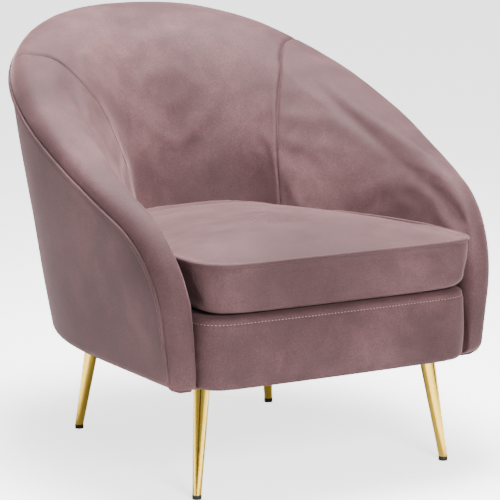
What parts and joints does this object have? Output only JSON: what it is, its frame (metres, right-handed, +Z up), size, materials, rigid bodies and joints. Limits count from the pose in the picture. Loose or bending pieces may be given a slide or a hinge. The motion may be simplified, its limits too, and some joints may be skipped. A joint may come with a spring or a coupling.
{
  "type": "upholstered armchair",
  "caption": "Tub armchair with a curved velvet shell sloping from arms to back, a loose seat cushion and slanted tapered metal legs.",
  "frame": {"origin": "on the floor under the middle of the chair's bounding box", "axes": "+Z up, the front of the chair faces -Y, +X is to the right of someone looking at its front"},
  "size_m": [0.784, 0.8842, 0.8126],
  "materials": {
    "velvet": "dusty mauve velvet, short pile",
    "foam": "polyurethane foam with fibre wrap",
    "fibreboard": "thin bent fibreboard",
    "platform_cloth": "woven platform cloth",
    "black_nonwoven": "spun-bonded dust cover",
    "spring_steel": "oil-tempered spring wire",
    "black_steel": "black powder coat",
    "zinc_steel": "zinc plated",
    "gold_steel": "polished gold-coloured plating on steel tube",
    "black_plastic": "moulded glide",
    "zip_tape": "dyed zip tape with nylon coil",
    "zip_metal": "painted auto-lock slider",
    "plywood": "bent plywood",
    "hardwood": "raw hardwood board"
  },
  "bodies": {
    "frame": {"arm_cover_left": "velvet", "arm_cover_right": "velvet", "arm_front_pad_left": "foam", "arm_front_pad_right": "foam", "arm_pad_left": "foam", "arm_pad_right": "foam", "arm_rib_left": "hardwood", "arm_rib_right": "hardwood", "back_cover": "velvet", "back_pad": "foam", "back_rib_left": "hardwood", "back_rib_right": "hardwood", "base_ring": "plywood", "border_cover": "velvet", "border_foam": "foam", "centre_rib": "hardwood", "corner_block_front_left": "hardwood", "corner_block_front_right": "hardwood", "corner_block_rear_left": "hardwood", "corner_block_rear_right": "hardwood", "deck_cloth": "platform_cloth", "deck_foam": "foam", "dust_cover": "black_nonwoven", "front_post_left": "hardwood", "front_post_right": "hardwood", "front_rail": "hardwood", "glide_front_left": "black_plastic", "glide_front_right": "black_plastic", "glide_rear_left": "black_plastic", "glide_rear_right": "black_plastic", "leg_front_left": "gold_steel", "leg_front_right": "gold_steel", "leg_plate_front_left": "black_steel", "leg_plate_front_right": "black_steel", "leg_plate_rear_left": "black_steel", "leg_plate_rear_right": "black_steel", "leg_rear_left": "gold_steel", "leg_rear_right": "gold_steel", "leg_screws": "zinc_steel", "outer_panel_left": "fibreboard", "outer_panel_rear": "fibreboard", "outer_panel_right": "fibreboard", "outside_cover": "velvet", "rear_rail": "hardwood", "rim_rail": "plywood", "rim_welt": "velvet", "seat_springs": "spring_steel", "side_rail_left": "hardwood", "side_rail_right": "hardwood", "spring_clips": "spring_steel", "tie_left": "hardwood", "tie_right": "hardwood"},
    "cushion": {"cushion_core": "foam", "cushion_cover": "velvet", "cushion_welt": "velvet", "cushion_zip": "zip_tape"},
    "zip_slider": {"zip_slider": "zip_metal"}
  },
  "joints": [
    {"name": "cushion_lift", "type": "slide", "parent": "frame", "child": "cushion", "axis": [0, 0, 1], "range_m": [0, 0.45]},
    {"name": "zip_slide", "type": "slide", "parent": "cushion", "child": "zip_slider", "axis": [-1, 0, 0], "range_m": [0, 0.125]}
  ]
}
